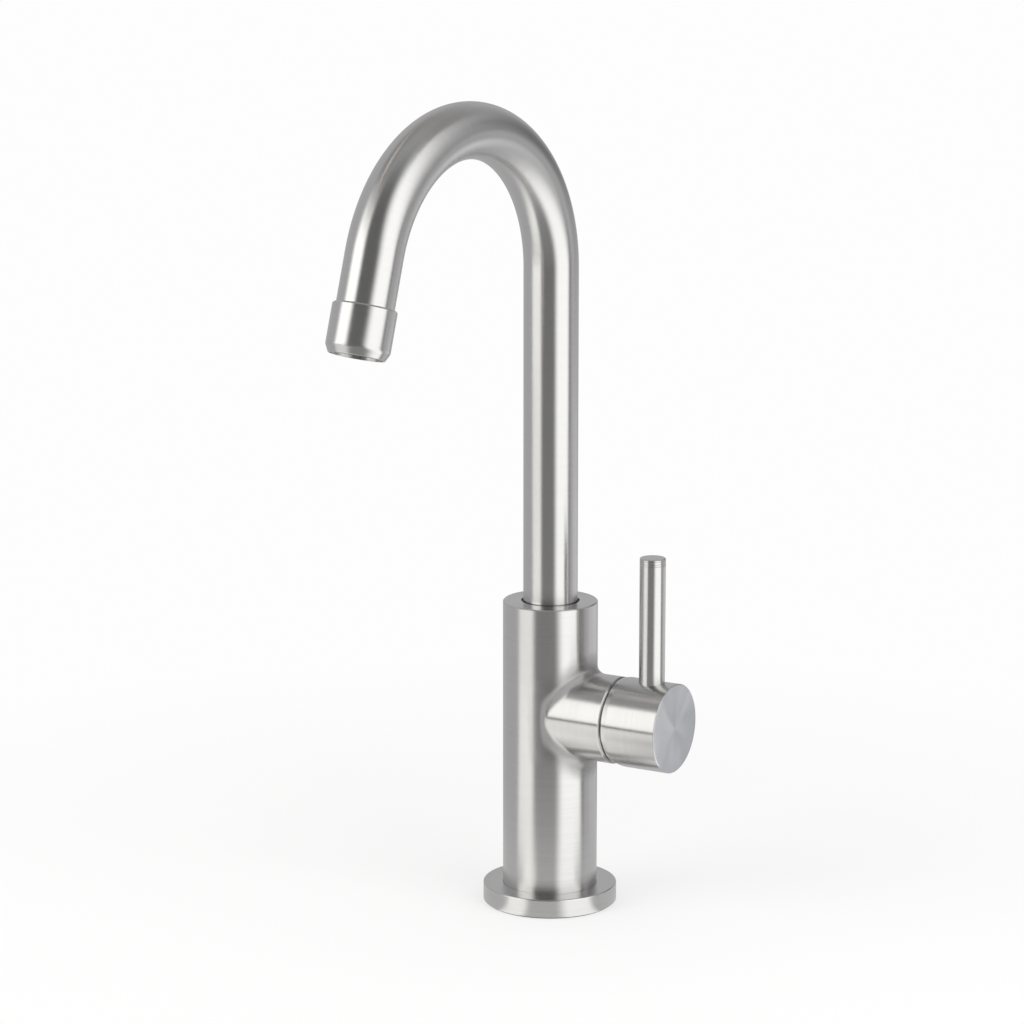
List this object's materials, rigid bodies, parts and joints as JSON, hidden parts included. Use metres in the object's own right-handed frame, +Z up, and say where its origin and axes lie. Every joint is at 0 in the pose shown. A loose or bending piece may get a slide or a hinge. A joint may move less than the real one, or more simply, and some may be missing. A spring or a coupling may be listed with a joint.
{
  "type": "gooseneck bar faucet",
  "caption": "Gooseneck bar faucet in brushed steel: round body on a base flange, swivelling high-arc spout with an aerator collar, side hub with a rod lever that turns and tilts.",
  "frame": {"origin": "centre of the base on the deck, at the mouth of the stud thread", "axes": "+Z up along the body, -Y to the front where the spout points (turned 4.6 degrees to -X at rest), +X along the handle axis"},
  "size_m": [0.0845, 0.1636, 0.3311],
  "materials": {
    "brushed_steel": "fine circumferential brushing",
    "plain_steel": "machined",
    "brass": "machined",
    "rubber": "matte black",
    "black_plastic": "satin black",
    "white_plastic": "moulded, off-white",
    "ceramic": "lapped ceramic"
  },
  "bodies": {
    "faucet_body": {"base_gasket": "rubber", "base_flange": "brushed_steel", "body_shell": "brushed_steel", "inlet_block": "brass", "hot_riser": "plain_steel", "cold_riser": "plain_steel", "outlet_riser": "plain_steel", "valve_cup": "brass", "cartridge_base": "white_plastic", "port_seals": "rubber", "fixed_disc": "ceramic", "cartridge_housing": "white_plastic", "cartridge_nut": "brass", "bonnet_dome": "brushed_steel", "spout_socket": "brass", "thrust_washer": "white_plastic", "glide_ring": "black_plastic"},
    "spout": {"spout_adapter": "brass", "spout_o_rings": "rubber", "retaining_clip": "plain_steel", "spout_tube": "brushed_steel", "aerator_housing": "brushed_steel", "aerator_washer": "rubber", "flow_disc": "white_plastic", "aerator_insert": "white_plastic", "aerator_screen": "plain_steel"},
    "turning_guide": {"stem_guide": "white_plastic", "pivot_pin": "plain_steel"},
    "sliding_disc": {"moving_disc": "ceramic", "disc_carrier": "white_plastic"},
    "handle": {"cartridge_stem": "plain_steel", "handle_hub": "brushed_steel", "lever_rod": "brushed_steel", "lever_tip": "brushed_steel", "handle_set_screw": "plain_steel"}
  },
  "joints": [
    {"name": "spout_swivel", "type": "hinge", "parent": "faucet_body", "child": "spout", "pos_m": [0, 0, 0.11], "axis": [0, 0, 1], "continuous": true},
    {"name": "temperature_turn", "type": "hinge", "parent": "faucet_body", "child": "turning_guide", "pos_m": [0.0355, 0, 0.0802], "axis": [1, 0, 0], "range_deg": [-45, 45]},
    {"name": "flow_tilt", "type": "hinge", "parent": "turning_guide", "child": "handle", "pos_m": [0.0355, 0, 0.0802], "axis": [0, 1, 0], "range_deg": [0, 12]},
    {"name": "disc_slide", "type": "slide", "parent": "turning_guide", "child": "sliding_disc", "axis": [0, 0, 1], "range_m": [0, 0.0017]}
  ],
  "couplings": [
    {"joint": "disc_slide", "follows": "flow_tilt", "m_per_rad": 0.008}
  ]
}
